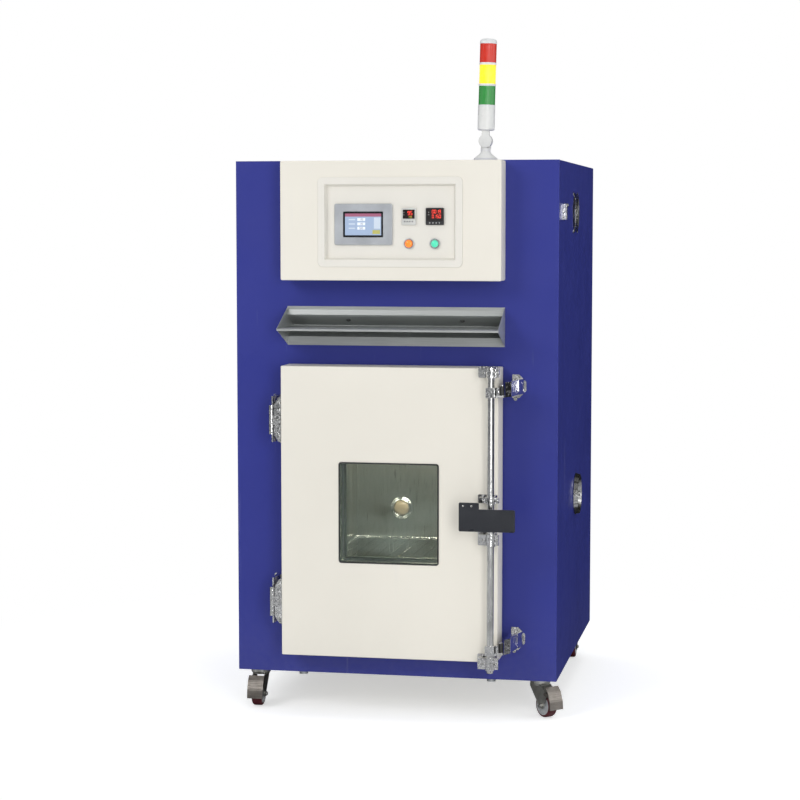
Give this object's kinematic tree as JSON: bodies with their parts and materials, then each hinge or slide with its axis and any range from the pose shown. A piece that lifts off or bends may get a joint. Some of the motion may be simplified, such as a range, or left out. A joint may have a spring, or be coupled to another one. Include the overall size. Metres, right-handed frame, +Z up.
{
  "type": "aging test chamber",
  "caption": "Floor-standing heated aging chamber on casters: insulated stainless chamber, windowed hinged door with a bar latch, control box, vent visor and folding signal tower.",
  "frame": {"origin": "centre of the footprint on the floor", "axes": "+Z up, +Y from the door into the cabinet, +X to the right of a user who faces the door"},
  "size_m": [0.9015, 1.108, 1.8273],
  "materials": {
    "blue": "semi-gloss powder coat",
    "cream": "semi-gloss powder coat",
    "galvanised": "matt zinc grey",
    "stainless": "brushed",
    "mirror_steel": "polished",
    "chrome": "polished plating",
    "wool": "mineral wool",
    "silicone": "matt",
    "black_rubber": "matt",
    "glass": "clear tempered",
    "black_plastic": "fine texture",
    "silver_plastic": "satin silver",
    "grey_plastic": "moulded",
    "ivory_plastic": "moulded",
    "panel_paint": "satin",
    "red_lens": "translucent",
    "yellow_lens": "translucent",
    "green_lens": "translucent",
    "orange_cap": "translucent, lit",
    "mint_cap": "translucent",
    "zinc": "bright zinc plate",
    "maroon_tyre": "polyurethane tread",
    "aluminium": "cast"
  },
  "bodies": {
    "cabinet": {"base_frame": "galvanised", "outer_casing": "blue", "rear_panel": "blue", "front_frame": "blue", "chamber_liner": "stainless", "chamber_insulation": "wool", "air_baffle": "stainless", "heater_elements": "stainless", "blower_motor": "aluminium", "shelf_rails": "stainless", "wire_shelves": "chrome", "chamber_lamp": "chrome", "vent_visor": "mirror_steel", "control_box": "cream", "instrument_panel": "panel_paint", "touch_panel": "silver_plastic", "temperature_controller": "black_plastic", "timer": "black_plastic", "button_bezels": "silver_plastic", "tower_base": "ivory_plastic", "fan_guard": "chrome", "fan_frame": "black_plastic", "side_lock": "chrome", "port_flange": "mirror_steel", "cable_gland": "black_plastic", "hinge_leaves_cabinet": "chrome", "latch_keepers": "chrome", "caster_mounts": "zinc"},
    "door": {"door_outer_panel": "cream", "door_inner_pan": "stainless", "door_insulation": "wool", "door_gasket": "silicone", "window_frame": "black_rubber", "window_panes": "glass", "hinge_leaves_door": "chrome", "latch_brackets": "chrome"},
    "latch": {"latch_rod": "chrome", "latch_arms": "chrome", "latch_handle": "black_plastic"},
    "roller_top": {"roller_top": "black_plastic"},
    "roller_bottom": {"roller_bottom": "black_plastic"},
    "tower": {"tower_column": "ivory_plastic", "lens_green": "green_lens", "lens_yellow": "yellow_lens", "lens_red": "red_lens", "tower_trim": "ivory_plastic"},
    "blower_wheel": {"blower_wheel": "stainless"},
    "fan_rotor": {"fan_rotor": "black_plastic"},
    "button_power": {"button_power": "orange_cap"},
    "button_run": {"button_run": "mint_cap"},
    "port_cap": {"port_cap": "mirror_steel"},
    "lock_paddle": {"lock_paddle": "chrome"},
    "caster_fork_left": {"caster_fork_left": "zinc"},
    "caster_fork_right": {"caster_fork_right": "zinc"},
    "wheel_front_left": {"wheel_front_left": "maroon_tyre"},
    "wheel_front_right": {"wheel_front_right": "maroon_tyre"},
    "wheel_rear_left": {"wheel_rear_left": "maroon_tyre"},
    "wheel_rear_right": {"wheel_rear_right": "maroon_tyre"},
    "brake_pedal_left": {"brake_pedal_left": "zinc"},
    "brake_pedal_right": {"brake_pedal_right": "zinc"}
  },
  "joints": [
    {"name": "door_swing", "type": "hinge", "parent": "cabinet", "child": "door", "pos_m": [-0.322, -0.464, 0.5625], "axis": [0, 0, -1], "range_deg": [0, 115]},
    {"name": "latch_turn", "type": "hinge", "parent": "door", "child": "latch", "pos_m": [0.281, -0.506, 0.5625], "axis": [0, 0, 1], "range_deg": [0, 90]},
    {"name": "blower_spin", "type": "hinge", "parent": "cabinet", "child": "blower_wheel", "pos_m": [0, 0.257, 0.7425], "axis": [0, 1, 0], "continuous": true},
    {"name": "fan_spin", "type": "hinge", "parent": "cabinet", "child": "fan_rotor", "pos_m": [0.428, 0.018, 1.366], "axis": [1, 0, 0], "continuous": true},
    {"name": "power_press", "type": "slide", "parent": "cabinet", "child": "button_power", "axis": [0, 1, 0], "range_m": [0, 0.0035], "stiffness_N_per_m": 400},
    {"name": "run_press", "type": "slide", "parent": "cabinet", "child": "button_run", "axis": [0, 1, 0], "range_m": [0, 0.0035], "stiffness_N_per_m": 400},
    {"name": "port_cap_pull", "type": "slide", "parent": "cabinet", "child": "port_cap", "axis": [1, 0, 0], "range_m": [0, 0.09]},
    {"name": "lock_lift", "type": "hinge", "parent": "cabinet", "child": "lock_paddle", "pos_m": [0.4502, -0.292, 1.384], "axis": [0, -1, 0], "range_deg": [0, 70]},
    {"name": "tower_fold", "type": "hinge", "parent": "cabinet", "child": "tower", "pos_m": [0.2356, -0.31, 1.556], "axis": [0, 1, 0], "range_deg": [-91.5, 0]},
    {"name": "roller_top_spin", "type": "hinge", "parent": "latch", "child": "roller_top", "pos_m": [0.30819, -0.49332, 0.894], "axis": [0, 0, 1], "continuous": true},
    {"name": "roller_bottom_spin", "type": "hinge", "parent": "latch", "child": "roller_bottom", "pos_m": [0.30819, -0.49332, 0.211], "axis": [0, 0, 1], "continuous": true},
    {"name": "caster_left_swivel", "type": "hinge", "parent": "cabinet", "child": "caster_fork_left", "pos_m": [-0.392, -0.318, 0.09], "axis": [0, 0, 1], "continuous": true},
    {"name": "wheel_front_left_roll", "type": "hinge", "parent": "caster_fork_left", "child": "wheel_front_left", "pos_m": [-0.392, -0.346, 0.0325], "axis": [1, 0, 0], "continuous": true},
    {"name": "brake_left_press", "type": "hinge", "parent": "caster_fork_left", "child": "brake_pedal_left", "pos_m": [-0.392, -0.36431, 0.06693], "axis": [1, 0, 0], "range_deg": [0, 13]},
    {"name": "caster_right_swivel", "type": "hinge", "parent": "cabinet", "child": "caster_fork_right", "pos_m": [0.392, -0.318, 0.09], "axis": [0, 0, 1], "continuous": true},
    {"name": "wheel_front_right_roll", "type": "hinge", "parent": "caster_fork_right", "child": "wheel_front_right", "pos_m": [0.4118, -0.3378, 0.0325], "axis": [0.7071, 0.7071, 0], "continuous": true},
    {"name": "brake_right_press", "type": "hinge", "parent": "caster_fork_right", "child": "brake_pedal_right", "pos_m": [0.42475, -0.35075, 0.06693], "axis": [0.7071, 0.7071, 0], "range_deg": [0, 13]},
    {"name": "wheel_rear_left_roll", "type": "hinge", "parent": "cabinet", "child": "wheel_rear_left", "pos_m": [-0.392, 0.468, 0.0325], "axis": [1, 0, 0], "continuous": true},
    {"name": "wheel_rear_right_roll", "type": "hinge", "parent": "cabinet", "child": "wheel_rear_right", "pos_m": [0.392, 0.468, 0.0325], "axis": [1, 0, 0], "continuous": true}
  ]
}
